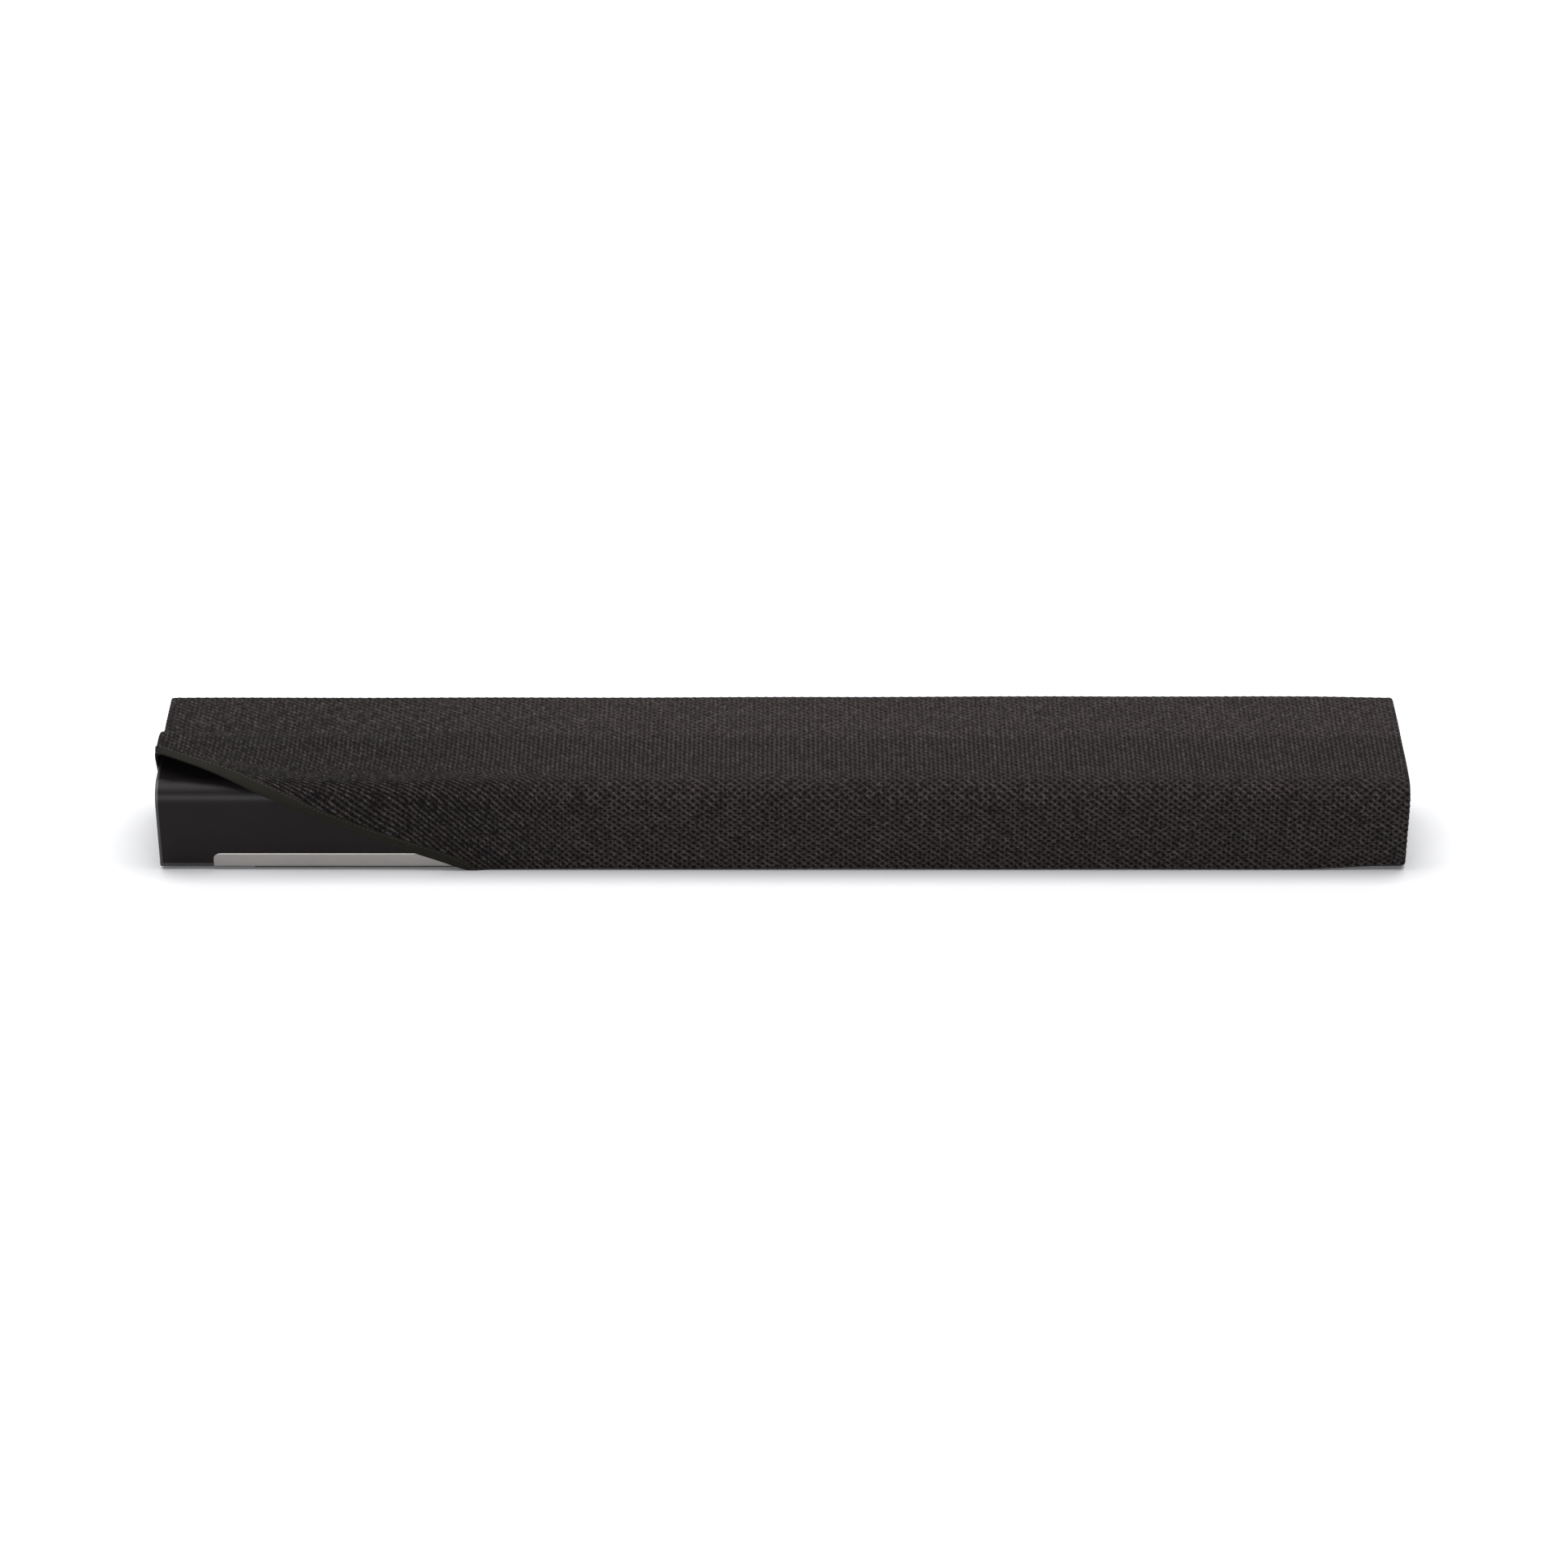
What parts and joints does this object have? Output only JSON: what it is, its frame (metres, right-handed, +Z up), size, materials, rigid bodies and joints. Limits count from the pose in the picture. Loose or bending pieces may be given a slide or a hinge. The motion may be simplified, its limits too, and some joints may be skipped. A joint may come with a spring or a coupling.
{
  "type": "soundbar",
  "caption": "Long low soundbar on foot strips with a silver band, under a slip-on knit cover whose front corner is still pulled up; drivers, boards, buttons and ports inside.",
  "frame": {"origin": "on the table under the middle of the bar", "axes": "+X along the bar to its right end seen from the front, +Z up, front towards -Y"},
  "size_m": [0.9038, 0.1438, 0.0861],
  "materials": {
    "cover_knit": "coarse air-mesh knit",
    "binding_tape": "smooth folded tape",
    "acoustic_cloth": "fine tight weave",
    "casing_black": "fine spark texture",
    "inner_black": "moulded",
    "band_silver": "satin",
    "foot_rubber": "matte",
    "button_black": "satin",
    "connector_black": "moulded",
    "insert_brass": "knurled",
    "screw_steel": "blackened",
    "magnet_grey": "ferrite",
    "foam_grey": "open-cell foam",
    "circuit_green": "solder mask",
    "component_black": "epoxy",
    "heat_sink_metal": "extruded",
    "wire_black": "sleeved",
    "light_pipe_clear": "clear",
    "basket_steel": "pressed",
    "cone_paper": "pulp",
    "surround_rubber": "moulded",
    "dome_silk": "coated silk"
  },
  "bodies": {
    "soundbar": {"amplifier_board": "circuit_green", "baffle_gasket": "foam_grey", "baffle_screws": "screw_steel", "bracket_inserts": "insert_brass", "control_board": "circuit_green", "damping_foam": "foam_grey", "driver_screws": "screw_steel", "foot_strips": "foot_rubber", "front_baffle": "inner_black", "grille_cloth": "acoustic_cloth", "grille_frame": "inner_black", "heat_sink": "heat_sink_metal", "infrared_receivers": "component_black", "left_end_cap": "casing_black", "main_board": "circuit_green", "main_board_chips": "component_black", "network_jacks": "connector_black", "optical_jack": "connector_black", "partition_walls": "inner_black", "port_panel": "casing_black", "power_inlet": "connector_black", "power_supply_board": "circuit_green", "power_supply_parts": "component_black", "rear_housing": "casing_black", "right_end_cap": "casing_black", "status_light_pipe": "light_pipe_clear", "tact_switches": "connector_black", "trim_band": "band_silver", "tweeter_frames": "inner_black", "wiring_harness": "wire_black", "woofer_1_frame": "basket_steel", "woofer_1_surround": "surround_rubber", "woofer_2_frame": "basket_steel", "woofer_2_surround": "surround_rubber", "woofer_3_frame": "basket_steel", "woofer_3_surround": "surround_rubber", "woofer_4_frame": "basket_steel", "woofer_4_surround": "surround_rubber", "woofer_5_frame": "basket_steel", "woofer_5_surround": "surround_rubber", "woofer_6_frame": "basket_steel", "woofer_6_surround": "surround_rubber", "woofer_magnets": "magnet_grey"},
    "cover": {"cover_main_panel": "cover_knit", "cover_left_end": "cover_knit", "cover_right_end": "cover_knit", "cover_binding": "binding_tape"},
    "woofer_1_moving": {"woofer_1_cone": "cone_paper"},
    "woofer_2_moving": {"woofer_2_cone": "cone_paper"},
    "woofer_3_moving": {"woofer_3_cone": "cone_paper"},
    "woofer_4_moving": {"woofer_4_cone": "cone_paper"},
    "woofer_5_moving": {"woofer_5_cone": "cone_paper"},
    "woofer_6_moving": {"woofer_6_cone": "cone_paper"},
    "tweeter_1_moving": {"tweeter_1_dome": "dome_silk"},
    "tweeter_2_moving": {"tweeter_2_dome": "dome_silk"},
    "tweeter_3_moving": {"tweeter_3_dome": "dome_silk"},
    "volume_up_key": {"volume_up_button": "button_black"},
    "mute_key": {"mute_button": "button_black"},
    "volume_down_key": {"volume_down_button": "button_black"}
  },
  "joints": [
    {"name": "cover_lift", "type": "slide", "parent": "soundbar", "child": "cover", "axis": [0, 0, 1], "range_m": [0, 0.12]},
    {"name": "woofer_1_travel", "type": "slide", "parent": "soundbar", "child": "woofer_1_moving", "axis": [0, -0.9063, 0.4226], "range_m": [-0.0025, 0.0025], "stiffness_N_per_m": 1400, "deforming": ["woofer_1_surround"]},
    {"name": "woofer_2_travel", "type": "slide", "parent": "soundbar", "child": "woofer_2_moving", "axis": [0, -0.9063, 0.4226], "range_m": [-0.0025, 0.0025], "stiffness_N_per_m": 1400, "deforming": ["woofer_2_surround"]},
    {"name": "woofer_3_travel", "type": "slide", "parent": "soundbar", "child": "woofer_3_moving", "axis": [0, -0.9063, 0.4226], "range_m": [-0.0025, 0.0025], "stiffness_N_per_m": 1400, "deforming": ["woofer_3_surround"]},
    {"name": "woofer_4_travel", "type": "slide", "parent": "soundbar", "child": "woofer_4_moving", "axis": [0, -0.9063, 0.4226], "range_m": [-0.0025, 0.0025], "stiffness_N_per_m": 1400, "deforming": ["woofer_4_surround"]},
    {"name": "woofer_5_travel", "type": "slide", "parent": "soundbar", "child": "woofer_5_moving", "axis": [0, -0.9063, 0.4226], "range_m": [-0.0025, 0.0025], "stiffness_N_per_m": 1400, "deforming": ["woofer_5_surround"]},
    {"name": "woofer_6_travel", "type": "slide", "parent": "soundbar", "child": "woofer_6_moving", "axis": [0, -0.9063, 0.4226], "range_m": [-0.0025, 0.0025], "stiffness_N_per_m": 1400, "deforming": ["woofer_6_surround"]},
    {"name": "tweeter_1_travel", "type": "slide", "parent": "soundbar", "child": "tweeter_1_moving", "axis": [0, -0.9063, 0.4226], "range_m": [-0.0003, 0.0003], "stiffness_N_per_m": 1200},
    {"name": "tweeter_2_travel", "type": "slide", "parent": "soundbar", "child": "tweeter_2_moving", "axis": [0, -0.9063, 0.4226], "range_m": [-0.0003, 0.0003], "stiffness_N_per_m": 1200},
    {"name": "tweeter_3_travel", "type": "slide", "parent": "soundbar", "child": "tweeter_3_moving", "axis": [0, -0.9063, 0.4226], "range_m": [-0.0003, 0.0003], "stiffness_N_per_m": 1200},
    {"name": "volume_up_press", "type": "slide", "parent": "soundbar", "child": "volume_up_key", "axis": [-1, 0, 0], "range_m": [0, 0.0012], "stiffness_N_per_m": 700},
    {"name": "mute_press", "type": "slide", "parent": "soundbar", "child": "mute_key", "axis": [-1, 0, 0], "range_m": [0, 0.0012], "stiffness_N_per_m": 700},
    {"name": "volume_down_press", "type": "slide", "parent": "soundbar", "child": "volume_down_key", "axis": [-1, 0, 0], "range_m": [0, 0.0012], "stiffness_N_per_m": 700}
  ]
}
